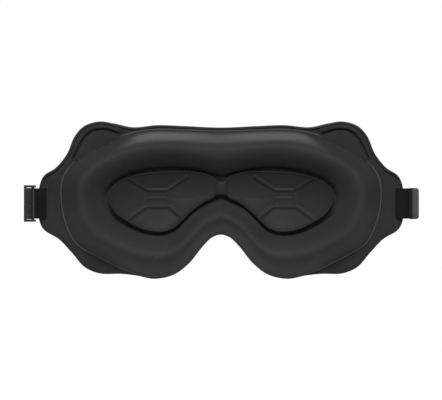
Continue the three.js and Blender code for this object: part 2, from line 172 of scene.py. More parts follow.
def rounded(points: Grid | Sequence[Sequence[float]], count: int, closed: bool = True) -> Grid:
    """Runs a smooth curve through points, evenly spaced by length.

    Args:
        points: The points that the curve passes through, in any dimension.
        count: How many points to return.
        closed: Whether the curve joins up.

    Returns:
        The curve's points.
    """
    points = np.asarray(points, float)
    steps = 24
    size = len(points)
    spans = size if closed else size - 1
    found = []
    for i in range(spans):
        near = [points[(i + k) % size] if closed else points[min(max(i + k, 0), size - 1)]
                for k in (-1, 0, 1, 2)]
        found.extend(hermite(near, j / steps) for j in range(steps))
    found.append(points[0] if closed else points[-1])
    dense = np.array(found)
    lengths = np.concatenate([[0], np.cumsum(np.linalg.norm(np.diff(dense, axis=0), axis=1))])
    wanted = np.linspace(0, lengths[-1], count + 1 if closed else count)
    even = np.stack([np.interp(wanted, lengths, dense[:, k]) for k in range(dense.shape[1])], 1)
    return even[:-1] if closed else even


def hermite(near: Sequence[Grid], t: float) -> Grid:
    """A point between the middle two of four points, on a centripetal smooth curve.

    Args:
        near: The four points.
        t: The share of the way between the middle two.

    Returns:
        The point.
    """
    a, b, c, d = near
    least = 1e-6
    ab, bc, cd = (max(math.sqrt(float(np.linalg.norm(q - p))), least)
                  for p, q in ((a, b), (b, c), (c, d)))
    at_b = (c - b) + bc * ((b - a) / ab - (c - a) / (ab + bc)) if ab > least else c - b
    at_c = (c - b) + bc * ((d - c) / cd - (d - b) / (bc + cd)) if cd > least else c - b
    t2, t3 = t * t, t * t * t
    return ((2 * t3 - 3 * t2 + 1) * b + (t3 - 2 * t2 + t) * at_b
            + (3 * t2 - 2 * t3) * c + (t3 - t2) * at_c)


def new_piece(name: str, points: Grid, faces: list[tuple[int, ...]]) -> bpy.types.Object:
    """Makes a smooth-shaded object from points in millimetres, with its faces turned outwards.

    Args:
        name: The object's name.
        points: The mesh's points.
        faces: Each face's point numbers.

    Returns:
        The new object.
    """
    mesh = bpy.data.meshes.new(name)
    mesh.from_pydata((np.asarray(points) * MM).tolist(), [], faces)
    tidy = bmesh.new()
    tidy.from_mesh(mesh)
    bmesh.ops.remove_doubles(tidy, verts=tidy.verts, dist=1e-7)
    bmesh.ops.recalc_face_normals(tidy, faces=tidy.faces)
    tidy.to_mesh(mesh)
    tidy.free()
    made = bpy.data.objects.new(name, mesh)
    bpy.context.scene.collection.objects.link(made)
    mesh.polygons.foreach_set("use_smooth", [True] * len(mesh.polygons))
    return made


def disc(name: str, front: Grid, back: Grid) -> bpy.types.Object:
    """Makes a closed sheet from two faces, each rings of points whose last ring is one point.

    Args:
        name: The object's name.
        front: The front face's points, as rings by stations by 3, from the edge inwards.
        back: The back face's points, the same way.

    Returns:
        The new object.
    """
    rings, size = front.shape[:2]
    count = rings * size
    faces = []
    for i in range(size):
        j = (i + 1) % size
        for r in range(rings - 1):
            a, b, c, d = r * size + i, r * size + j, (r + 1) * size + j, (r + 1) * size + i
            faces.append((a, b, c, d))
            faces.append((count + a, count + d, count + c, count + b))
        faces.append((i, count + i, count + j, j))
    points = np.concatenate([front.reshape(-1, 3), back.reshape(-1, 3)])
    return new_piece(name, points, faces)


def loop_of(name: str, rows: Grid, turn: bool) -> bpy.types.Object:
    """Makes a closed body from rows of points that each close on themselves.

    Args:
        name: The object's name.
        rows: The sections, as rows by points by 3.
        turn: Whether the last row joins the first; otherwise the ends are capped.

    Returns:
        The new object.
    """
    count, size = rows.shape[:2]
    faces = []
    for r in range(count if turn else count - 1):
        n = (r + 1) % count
        for i in range(size):
            j = (i + 1) % size
            faces.append((r * size + i, r * size + j, n * size + j, n * size + i))
    if not turn:
        faces.append(tuple(range(size))[::-1])
        faces.append(tuple((count - 1) * size + i for i in range(size)))
    return new_piece(name, rows.reshape(-1, 3), faces)


def bead(name: str, path: Grid, radius: Grid) -> bpy.types.Object:
    """Makes a closed round bead along a closed path.

    Args:
        name: The object's name.
        path: The bead's middle, as points by 3.
        radius: Its radius at each point.

    Returns:
        The new object.
    """
    way = np.roll(path, -1, axis=0) - np.roll(path, 1, axis=0)
    side = np.cross(way, (0.0, 1.0, 0.0))
    side /= np.linalg.norm(side, axis=1)[:, None]
    turn = np.linspace(0, 2 * np.pi, 10, endpoint=False)[None, :, None]
    up = np.array((0.0, 1.0, 0.0))
    round_it = np.cos(turn) * side[:, None, :] + np.sin(turn) * up
    return loop_of(name, path[:, None, :] + radius[:, None, None] * round_it, turn=True)


def pick(piece: bpy.types.Object) -> None:
    """Selects one piece alone and makes it active."""
    bpy.ops.object.select_all(action="DESELECT")
    bpy.context.view_layer.objects.active = piece
    piece.select_set(True)


def apply_modifiers(piece: bpy.types.Object) -> None:
    """Applies every modifier on a piece."""
    pick(piece)
    for modifier in list(piece.modifiers):
        bpy.ops.object.modifier_apply(modifier=modifier.name)
    piece.select_set(False)


def combine(piece: bpy.types.Object, other: bpy.types.Object, operation: str) -> None:
    """Cuts another object from a piece or joins it on, and removes the other object.

    Args:
        piece: The piece that is changed.
        other: The cutter, or the object to join.
        operation: DIFFERENCE or UNION.
    """
    step = piece.modifiers.new(other.name, "BOOLEAN")
    step.operation = operation
    step.solver = "EXACT"
    step.object = other
    apply_modifiers(piece)
    bpy.data.objects.remove(other)


def shade_by_angle(piece: bpy.types.Object, degrees: float) -> None:
    """Smooths a piece's shading, apart from edges sharper than an angle."""
    pick(piece)
    bpy.ops.object.shade_smooth_by_angle(angle=math.radians(degrees))
    piece.select_set(False)


def place_in_mesh(piece: bpy.types.Object) -> None:
    """Moves an object's place, turn and scale into its mesh."""
    pick(piece)
    bpy.ops.object.transform_apply(location=True, rotation=True, scale=True)
    piece.select_set(False)


def line_distance(x: Grid, z: Grid, line: Sequence[tuple[float, float]]) -> Grid:
    """How far points are from a straight line between two points.

    Args:
        x: The points' x.
        z: The points' z.
        line: The line's two ends.

    Returns:
        The distances.
    """
    (ax, az), (bx, bz) = line
    length = (bx - ax) ** 2 + (bz - az) ** 2
    along = np.clip(((x - ax) * (bx - ax) + (z - az) * (bz - az)) / length, 0, 1)
    return np.hypot(x - ax - along * (bx - ax), z - az - along * (bz - az))


def ripple(points: Grid, length_mm: float, height_mm: float, seed: float) -> Grid:
    """Small soft unevenness for points, the same on each run.

    Args:
        points: The points in millimetres, as anything by 3.
        length_mm: The size of one bump.
        height_mm: How far the surface moves.
        seed: A shift that gives each piece its own pattern.

    Returns:
        One height for each point.
    """
    flat = points.reshape(-1, 3) / length_mm + seed
    found = [noise.noise(Vector(p)) for p in flat.tolist()]
    return np.array(found).reshape(points.shape[:-1]) * height_mm


# ---------------------------------------------------------------- the body's common shape


EDGE_STEPS = 5


@dataclass
class BodyShape:
    """The surfaces that the mask's layers share, in millimetres, before any thickness."""

    wrap_depth: float = 12.0
    cover_thick: float = 1.2
    dome_rise: float = 7.0
    shoulder_rise: float = 2.4
    shoulder_width: float = 5.0
    dome_fall: float = 3.6
    lining_thick: float = 1.2
    lining_gap: float = 0.3
    lining_step: float = 1.5
    lining_ramp: float = 4.0
    wing_flat: float = 112.0
    wing_ramp: float = 7.0
    stations: int = 420
    half_width: float = field(init=False)
    outline: Grid = field(init=False)
    angles: Grid = field(init=False)
    reach: Grid = field(init=False)
    dome_reach: Grid = field(init=False)

    def __post_init__(self) -> None:
        """Works out the outline's radius and the dome's in each station's direction."""
        self.half_width = max(abs(OUTLINE[i][0]) for i in range(len(OUTLINE)))
        self.outline = rounded(both_halves(OUTLINE), self.stations)
        self.angles = np.arctan2(self.outline[:, 1], self.outline[:, 0])
        self.reach = np.hypot(self.outline[:, 0], self.outline[:, 1])
        dome = rounded(both_halves(DOME), self.stations)
        around = np.arctan2(dome[:, 1], dome[:, 0])
        order = np.argsort(around)
        radii = np.hypot(dome[:, 0], dome[:, 1])
        found = np.interp(self.angles, around[order], radii[order], period=2 * math.pi)
        self.dome_reach = np.minimum(found, self.reach - 0.6)

    def rolled_edge(self, roll: float) -> tuple[list[Grid], Grid]:
        """A layer's rounded edge.

        Args:
            roll: The rounding's radius.

        Returns:
            Its ring radii from the outline inwards, and how far each ring lies behind the face.
        """
        turns = np.linspace(0, 0.5 * np.pi, EDGE_STEPS)
        return [self.reach - roll * (1 - np.cos(t)) for t in turns], roll * (1 - np.sin(turns))

    def wrap(self, x: float | Grid) -> float | Grid:
        """How far back the mask curves at an x."""
        return self.wrap_depth * (x / self.half_width) ** 2

    def reach_at(self, x: Grid, z: Grid) -> Grid:
        """The outline's radius in the direction of each point."""
        order = np.argsort(self.angles)
        return np.interp(np.arctan2(z, x), self.angles[order], self.reach[order],
                         period=2 * math.pi)

    def dome_height(self, radius: Grid) -> Grid:
        """How far the front stands out.

        Args:
            radius: Each point's distance from the middle, as rings by stations.

        Returns:
            The height over the flat flange.
        """
        inside = self.dome_reach - radius
        share = np.clip(radius / self.dome_reach, 0, 1)
        step = self.shoulder_rise * np.sin(0.5 * np.pi * np.clip(inside / self.shoulder_width, 0, 1))
        return step + (self.dome_rise - self.shoulder_rise) * (1 - share ** self.dome_fall)

    def lining_back(self, x: Grid, inside: Grid) -> Grid:
        """The lining's back face, at an x and a distance in from the edge."""
        edge = smooth(np.asarray(inside) / self.lining_ramp)
        wing = smooth((self.wing_flat - np.abs(x)) / self.wing_ramp)
        return self.lining_gap + self.lining_thick + self.lining_step * edge * wing

    def seat(self, x: Grid, z: Grid) -> Grid:
        """The height of the lining's back face under a point, with the wrap."""
        inside = self.reach_at(x, z) - np.hypot(x, z)
        return self.wrap(x) + self.lining_back(x, inside)

    def rings(self, radii: Sequence[Grid], depth: Callable[[Grid, Grid], Grid]) -> Grid:
        """Points on rings about the middle.

        Args:
            radii: Each ring's radius at each station, from the edge inwards.
            depth: Gives y before the wrap from the points' x and radius.

        Returns:
            The points, as rings by stations by 3.
        """
        radius = np.array(radii)
        x = radius * np.cos(self.angles)
        z = radius * np.sin(self.angles)
        return np.stack([x, self.wrap(x) + depth(x, radius), z], axis=2)


BODY = BodyShape()


# ---------------------------------------------------------------- finishes


def srgb(code: str) -> tuple[float, float, float, float]:
    """Turns an sRGB hex colour to linear.

    Args:
        code: Six hex digits.

    Returns:
        The linear colour and full alpha.
    """
    parts = [int(code[i:i + 2], 16) / 255 for i in (0, 2, 4)]
    linear = [c / 12.92 if c <= 0.04045 else ((c + 0.055) / 1.055) ** 2.4 for c in parts]
    return (*linear, 1.0)


def add_node(tree: bpy.types.NodeTree, kind: str, inputs: dict | None = None,
             **settings: object) -> bpy.types.Node:
    """Adds a node with its settings, values and links.

    Args:
        tree: The material's tree.
        kind: The node's type.
        inputs: Socket name or number to a value, or to the socket that feeds it.
        **settings: The node's own properties.

    Returns:
        The new node.
    """
    made = tree.nodes.new(kind)
    for key, value in settings.items():
        setattr(made, key, value)
    for key, value in (inputs or {}).items():
        if isinstance(value, bpy.types.NodeSocket):
            tree.links.new(value, made.inputs[key])
        else:
            made.inputs[key].default_value = value
    return made


def wave_scale(pitch_mm: float) -> float:
    """The wave texture's scale for one band each pitch, on coordinates in metres."""
    bands_per_unit = 20 / (2 * math.pi)
    return 1 / (pitch_mm * MM) / bands_per_unit


@dataclass(frozen=True)
class Finish:
    """A surface: two near colours mottled together, with a fine relief.

    Subclasses add the relief that their making leaves.
    """

    name: str
    colour: str
    light: str
    roughness: float
    mottle_mm: float = 14.0
    sheen: float = 0.0
    sheen_roughness: float = 0.5
    ior: float = 1.5
    relief_mm: float = 0.05

    def height(self, tree: bpy.types.NodeTree, place: bpy.types.NodeSocket) -> bpy.types.NodeSocket:
        """The relief's height, from 0 to 1."""
        grain = add_node(tree, "ShaderNodeTexNoise",
                         {"Vector": place, "Scale": 1 / (0.8 * MM), "Detail": 2.0})
        return grain.outputs["Fac"]

    def place(self, tree: bpy.types.NodeTree) -> bpy.types.NodeSocket:
        """The coordinates that the patterns read, in metres."""
        return add_node(tree, "ShaderNodeTexCoord").outputs["Object"]

    def material(self) -> bpy.types.Material:
        """Builds the material.

        Returns:
            The node material.
        """
        made = bpy.data.materials.new(self.name)
        made.use_nodes = True
        tree = made.node_tree
        tree.nodes.clear()
        place = self.place(tree)
        relief = self.height(tree, place)
        mottle = add_node(tree, "ShaderNodeTexNoise",
                          {"Vector": place, "Scale": 1 / (self.mottle_mm * MM), "Detail": 3.0})
        blend = add_node(tree, "ShaderNodeMath", {0: mottle.outputs["Fac"], 1: relief},
                         operation="MULTIPLY")
        mix = add_node(tree, "ShaderNodeMix",
                       {0: blend.outputs[0], 6: srgb(self.colour), 7: srgb(self.light)},
                       data_type="RGBA")
        bump = add_node(tree, "ShaderNodeBump",
                        {"Height": relief, "Distance": self.relief_mm * MM, "Strength": 1.0})
        shader = add_node(tree, "ShaderNodeBsdfPrincipled",
                          {"Base Color": mix.outputs[2], "Normal": bump.outputs["Normal"],
                           "Roughness": self.roughness, "IOR": self.ior,
                           "Sheen Weight": self.sheen,
                           "Sheen Roughness": self.sheen_roughness})
        out = add_node(tree, "ShaderNodeOutputMaterial")
        tree.links.new(shader.outputs["BSDF"], out.inputs["Surface"])
        return made


@dataclass(frozen=True)
class Knit(Finish):
    """Warp-knit nylon laminated to foam: rows of tiny loops that catch a soft sheen."""

    pitch_mm: float = 0.9

    def height(self, tree: bpy.types.NodeTree, place: bpy.types.NodeSocket) -> bpy.types.NodeSocket:
        """Crossed rows of loops with a little fuzz."""
        waves = [add_node(tree, "ShaderNodeTexWave",
                          {"Vector": place, "Scale": wave_scale(self.pitch_mm * share),
                           "Distortion": 1.2, "Detail": 1.0, "Detail Scale": 2.0},
                          wave_type="BANDS", bands_direction=way, wave_profile="SIN")
                 for way, share in (("X", 1.0), ("Z", 0.8))]
        rows = add_node(tree, "ShaderNodeMath",
                        {0: waves[0].outputs["Fac"], 1: waves[1].outputs["Fac"]},
                        operation="MULTIPLY")
        fuzz = add_node(tree, "ShaderNodeTexNoise",
                        {"Vector": place, "Scale": 1 / (0.5 * MM), "Detail": 2.0})
        both = add_node(tree, "ShaderNodeMath",
                        {0: rows.outputs[0], 1: fuzz.outputs["Fac"]}, operation="ADD")
        return add_node(tree, "ShaderNodeMath", {0: both.outputs[0], 1: 0.55},
                        operation="MULTIPLY").outputs[0]


@dataclass(frozen=True)
class Foam(Finish):
    """Open-cell polyurethane foam: a matte face of small torn cells."""

    cell_mm: float = 0.9

    def height(self, tree: bpy.types.NodeTree, place: bpy.types.NodeSocket) -> bpy.types.NodeSocket:
        """Cells of even size."""
        cells = add_node(tree, "ShaderNodeTexVoronoi",
                         {"Vector": place, "Scale": 1 / (self.cell_mm * MM)})
        return cells.outputs["Distance"]


@dataclass(frozen=True)
class Webbing(Finish):
    """Woven elastic: cords along the tape, crossed by a finer weft."""

    cord_mm: float = 1.25
    weft_mm: float = 0.85

    def place(self, tree: bpy.types.NodeTree) -> bpy.types.NodeSocket:
        """The tape's own map, with u along it and v across it, in metres."""
        return add_node(tree, "ShaderNodeUVMap", uv_map="tape").outputs["UV"]

    def height(self, tree: bpy.types.NodeTree, place: bpy.types.NodeSocket) -> bpy.types.NodeSocket:
        """Weft picks over cords, each row shifted by its neighbour."""
        weft = add_node(tree, "ShaderNodeTexWave",
                        {"Vector": place, "Scale": wave_scale(self.weft_mm),
                         "Distortion": 0.4, "Detail": 1.0},
                        wave_type="BANDS", bands_direction="X", wave_profile="SIN")
        cords = add_node(tree, "ShaderNodeTexWave",
                         {"Vector": place, "Scale": wave_scale(self.cord_mm)},
                         wave_type="BANDS", bands_direction="Y", wave_profile="SIN")
        both = add_node(tree, "ShaderNodeMath",
                        {0: weft.outputs["Fac"], 1: cords.outputs["Fac"]},
                        operation="MULTIPLY_ADD")
        both.inputs[2].default_value = 0.1
        return both.outputs[0]


@dataclass(frozen=True)
class HookTape(Webbing):
    """Woven nylon tape set with rows of stiff little hooks."""

    cord_mm: float = 1.0
    weft_mm: float = 1.0


@dataclass(frozen=True)
class Moulded(Finish):
    """Injection-moulded acetal with a fine spark-eroded texture."""


OUTER_KNIT = Knit("outer_knit", "191919", "2b2b2d", 0.8, sheen=0.05, ior=1.25, relief_mm=0.05)
LINING_KNIT = Knit("lining_knit", "191919", "2d2d2e", 0.8, sheen=0.05, ior=1.25, relief_mm=0.06)
CUSHION_KNIT = Knit("cushion_knit", "1a1a1a", "2f2f30", 0.72, sheen=0.05, ior=1.28,
                    relief_mm=0.05, mottle_mm=20.0)
CUP_KNIT = Knit("cup_knit", "101010", "1d1d1e", 0.66, sheen=0.03, ior=1.3, relief_mm=0.04,
                mottle_mm=9.0)
# The ring's hem is coloured lighter than the cushion fabric: a painted highlight along the ring's
# outer edge.
HEM_HIGHLIGHT = Knit("heat_cut_edge", "323233", "4a4a4c", 0.7, sheen=0.05, ior=1.3, relief_mm=0.03)
# The cup's lip is coloured lighter than the cup fabric: a painted highlight along the cup's rim.
CUP_LIP_HIGHLIGHT = Knit("pressed_cup_edge", "181819", "2c2c2d", 0.66, sheen=0.03, ior=1.3, relief_mm=0.03)
MEMORY_FOAM = Foam("memory_foam", "2a2a2b", "3c3c3e", 0.92, ior=1.3, relief_mm=0.12)
BLACKOUT_FILM = Moulded("blackout_film", "0b0b0c", "121213", 0.55, relief_mm=0.02)
ELASTIC = Webbing("woven_elastic", "090909", "1d1d1e", 0.85, ior=1.25, relief_mm=0.16)
THREAD = Knit("sewing_thread", "131313", "2a2a2b", 0.7, ior=1.3, pitch_mm=0.5)
ACETAL = Moulded("moulded_acetal", "0b0b0c", "101011", 0.5, relief_mm=0.015)
HOOKS = HookTape("hook_tape", "0b0b0b", "2a2a2b", 0.7, relief_mm=0.3)
NAP = Finish("brushed_loop_nap", "0b0b0b", "1d1d1e", 0.95, sheen=0.05, ior=1.25, relief_mm=0.25)
BUILT: dict[str, bpy.types.Material] = {}


def dress(piece: bpy.types.Object, finish: Finish) -> None:
    """Gives a piece one finish all over."""
    if finish.name not in BUILT:
        BUILT[finish.name] = finish.material()
    piece.data.materials.clear()
    piece.data.materials.append(BUILT[finish.name])


def settle(piece: bpy.types.Object, finish: Finish, slot: str, body: str, *nodes: str) -> None:
    """Dresses a piece, puts it on its body and hides the CAD nodes that it replaces.

    Args:
        piece: The finished mesh.
        finish: What it is made of.
        slot: The record's material slot; not used.
        body: The CAD body that it rides on.
        *nodes: The CAD nodes that it replaces.
    """
    dress(piece, finish)
    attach(piece, body)
    if nodes:
        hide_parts(*nodes)
    LOG.info("%s: %d faces on %s", piece.name, len(piece.data.polygons), body)


# ---------------------------------------------------------------- the body's layers


@dataclass
class FrontShell:
    """The domed outer face with its foam, the blackout layer and the lining behind it."""

    edge_round: float = 1.0
    slot_inner: float = 115.0
    slot_outer: float = 116.5
    slot_half_height: float = 9.4
    slot_middle_y: float = 11.0
    slot_cut: float = 20.0
    fold_depth: float = 0.7
    fold_start: int = 7
    fold_fade: float = 3.0
    fold_rings: tuple[float, ...] = (0.35, 1.0, 0.2, -0.3, -0.4, -0.2)
    flange_shares: tuple[float, ...] = (0.25, 0.5, 0.75, 1.0)
    shoulder_shares: tuple[float, ...] = (0.1, 0.2, 0.32, 0.45, 0.6, 0.8, 1.0)
    inner_shares: tuple[float, ...] = (0.9, 0.82, 0.73, 0.64, 0.54, 0.44, 0.33, 0.22, 0.1, 0.0)
    # One bump's length and height, and the pattern's shift.
    unevenness: tuple[float, float, float] = (24, 0.25, 3.0)
    unevenness_fade: float = 8.0
    foam_share: float = 0.88
    foam_back: float = 0.6
    film_front: float = 0.9
    film_back: float = 1.4
    film_inset: float = 5.5
    lining_round: float = 0.9
    lining_insets: tuple[float, ...] = (0.6, 1.2, 1.8, 2.5, 3.4)
    lining_shares: tuple[float, ...] = (0.94, 0.87, 0.78, 0.66, 0.5, 0.34, 0.17, 0.0)

    def front_faces(self) -> tuple[Grid, Grid]:
        """The cover's outer and inner faces, with rings close together where they bend."""
        radii, roll = BODY.rolled_edge(self.edge_round)
        last = radii[-1]
        foot = np.minimum(BODY.dome_reach, last - 0.1)
        radii += [last + (foot - last) * s for s in self.flange_shares]
        fold = len(radii) - 1
        inner = foot - BODY.shoulder_width
        radii += [foot + (inner - foot) * s for s in self.shoulder_shares]
        radii += [inner * s for s in self.inner_shares]
        drop = np.zeros(len(radii))
        drop[:EDGE_STEPS] = roll
        outer = BODY.rings(radii, lambda x, r: drop[:, None] - BODY.cover_thick
                           - BODY.dome_height(r))
        under = BODY.rings(radii, lambda x, r: -BODY.dome_height(r))
        inside = BODY.reach - np.array(radii)
        outer[:, :, 1] += ripple(outer, *self.unevenness) * smooth(inside / self.unevenness_fade)
        flange = smooth((last - radii[fold]) / self.fold_fade)
        for ring, share in enumerate(self.fold_rings, start=self.fold_start):
            outer[ring, :, 1] += self.fold_depth * share * flange
        return outer, under

    def cut_slots(self, piece: bpy.types.Object) -> None:
        """Cuts a strap slot through each wing."""
        for side in Side:
            middle = side.value * (self.slot_inner + self.slot_outer) / 2
            width = self.slot_outer - self.slot_inner
            bpy.ops.object.select_all(action="DESELECT")
            bpy.ops.mesh.primitive_cube_add(
                size=MM, location=(middle * MM, self.slot_middle_y * MM, 0))
            cutter = bpy.context.active_object
            cutter.scale = (width, self.slot_cut, 2 * self.slot_half_height)
            combine(piece, cutter, "DIFFERENCE")

    def build(self) -> None:
        """Builds and dresses the four layers."""
        cover = disc("front_shell", *self.front_faces())
        self.cut_slots(cover)
        shade_by_angle(cover, 50)
        settle(cover, OUTER_KNIT, "outer_fabric", "mask", "front_cover")

        foam_edge = BODY.dome_reach * self.foam_share
        foam_radii = [foam_edge * s for s in (1, 0.97, 0.9, *self.inner_shares[1:])]
        foam = disc("front_padding",
                    BODY.rings(foam_radii, lambda x, r: BODY.lining_gap - BODY.dome_height(r)),
                    BODY.rings(foam_radii, lambda x, r: self.foam_back + 0 * r))
        settle(foam, MEMORY_FOAM, "foam", "mask", "front_foam")

        film_edge = np.minimum(self.foam_share * BODY.dome_reach, BODY.reach - self.film_inset)
        film_radii = [film_edge * s for s in (1, 0.8, 0.6, 0.4, 0.2, 0.0)]
        film = disc("blackout_sheet",
                    BODY.rings(film_radii, lambda x, r: self.film_front + 0 * r),
                    BODY.rings(film_radii, lambda x, r: self.film_back + 0 * r))
        settle(film, BLACKOUT_FILM, "blackout_film", "mask", "blackout_layer")
        self.build_lining()

    def build_lining(self) -> None:
        """Builds the back face, rounded at its edge."""
        radii, roll = BODY.rolled_edge(self.lining_round)
        radii += [radii[-1] - s for s in self.lining_insets]
        radii += [radii[-1] * s for s in self.lining_shares]
        drop = np.zeros((len(radii), 1))
        drop[:EDGE_STEPS, 0] = roll
        rear = BODY.rings(radii, lambda x, r: BODY.lining_back(x, BODY.reach - r) - drop)
        fore = BODY.rings(radii,
                          lambda x, r: BODY.lining_back(x, BODY.reach - r) - BODY.lining_thick)
        lining = disc("back_lining_sheet", fore, rear)
        self.cut_slots(lining)
        shade_by_angle(lining, 50)
        settle(lining, LINING_KNIT, "lining_fabric", "mask", "back_lining")


@dataclass
class RimAndEars:
    """The rolled rim along the upper edge, and each ear's raised band and low pad."""

    inset: float = 0.15
    width: float = 1.6
    thick: float = 1.3
    lift: float = 0.12
    lowest: float = 16.5
    band_inset: float = 1.9
    band_thick: float = 2.7
    band_taper: float = 0.09
    band_slope: float = 0.6
    band_stations: int = 90
    rim_flatness: float = 0.6
    band_flatness: float = 0.42
    pad_stations: int = 120
    # Shares of the pad's reach from its middle, and of its height.
    pad_profile: tuple[tuple[float, float], ...] = (
        (1.0, 0.0), (1.0, 0.45), (0.985, 0.78), (0.95, 0.95), (0.9, 1.0), (0.6, 1.06),
        (0.3, 1.08), (0.0, 1.08),
    )
    pad_thick: float = 2.5
    pad_seat: float = 0.3

    def arch(self, start: Grid, end: Grid, thick: Grid, flatness: float,
             slope: float = 0.0) -> Grid:
        """Raised sections between two edges that lie on the lining.

        Args:
            start: The outer edge, as points in x and z.
            end: The inner edge, matched to it.
            thick: The height at each point.
            flatness: How flat the top is: 1 is round, and near 0 is square.
            slope: How much lower the top is at its outer side, as a share.

        Returns:
            The sections, as rows by points by 3.
        """
        turn = np.linspace(0, np.pi, 17)
        across = 0.5 - 0.5 * np.sign(np.cos(turn)) * np.abs(np.cos(turn)) ** (0.4 + 0.6 * flatness)
        flat = start[:, None, :] + across[None, :, None] * (end - start)[:, None, :]
        x, z = flat[:, :, 0], flat[:, :, 1]
        top = np.sin(turn) ** flatness * (1 - slope * (1 - across))
        rise = thick[:, None] * top[None, :]
        return np.stack([x, BODY.seat(x, z) + self.lift + rise, z], axis=2)

    def edge(self) -> tuple[Grid, Grid]:
        """The outline's upper part from side to side, and its inward direction."""
        around = BODY.outline
        way = np.roll(around, -1, axis=0) - np.roll(around, 1, axis=0)
        way /= np.linalg.norm(way, axis=1)[:, None]
        inward = np.stack([way[:, 1], -way[:, 0]], axis=1)
        inward *= -np.sign(np.sum(inward * around, axis=1))[:, None]
        keep = around[:, 1] > self.lowest
        order = np.argsort(around[keep][:, 0])
        return around[keep][order], inward[keep][order]

    def build(self) -> None:
        """Builds the rim, and both ears."""
        edge, inward = self.edge()
        start = edge + self.inset * inward
        end = start + self.width * inward
        thick = np.full(len(edge), self.thick)
        rim = loop_of("upper_rim", self.arch(start, end, thick, self.rim_flatness), turn=False)
        shade_by_angle(rim, 60)
        settle(rim, LINING_KNIT, "lining_fabric", "mask", "rim_welt")
        for side in Side:
            self.build_band(side)
            self.build_pad(side)

    def build_band(self, side: Side) -> None:
        """Builds the raised band between the rim and the groove round an ear.

        Args:
            side: The wearer's side.
        """
        edge, inward = self.edge()
        groove = rounded(EAR_GROOVE, self.band_stations, closed=False)
        gaps = np.linalg.norm(groove[:, None, :] - edge[None, :, :], axis=2)
        near = np.argmin(gaps, axis=1)
        start = edge[near] + self.band_inset * inward[near]
        start = rounded(start[::6], len(groove), closed=False)
        share = np.linspace(0, 1, len(groove))
        thick = self.band_thick * smooth(np.minimum(share, 1 - share) / self.band_taper) + 0.02
        rows = self.arch(start, groove, thick, self.band_flatness, self.band_slope)
        rows[:, :, 0] *= side.value
        band = loop_of(f"ear_band_{side.word}", rows, turn=False)
        shade_by_angle(band, 60)
        settle(band, LINING_KNIT, "lining_fabric", "mask")

    def build_pad(self, side: Side) -> None:
        """Builds one ear's pad, with a rounded edge.

        Args:
            side: The wearer's side.
        """
        edge = rounded(EAR_PAD, self.pad_stations)
        middle = edge.mean(axis=0)
        flat = [middle + (edge - middle) * s for s, _ in self.pad_profile]
        x = np.array([ring[:, 0] for ring in flat]) * side.value
        z = np.array([ring[:, 1] for ring in flat])
        seat = BODY.seat(x, z) + self.pad_seat
        lift = np.array([h for _, h in self.pad_profile])[:, None] * self.pad_thick
        top = np.stack([x, seat + lift, z], axis=2)
        foot = np.stack([x, seat, z], axis=2)
        pad = disc(f"ear_cushion_{side.word}", top, foot)
        shade_by_angle(pad, 70)
        settle(pad, LINING_KNIT, "lining_fabric", "mask", f"ear_pad_{side.word}")


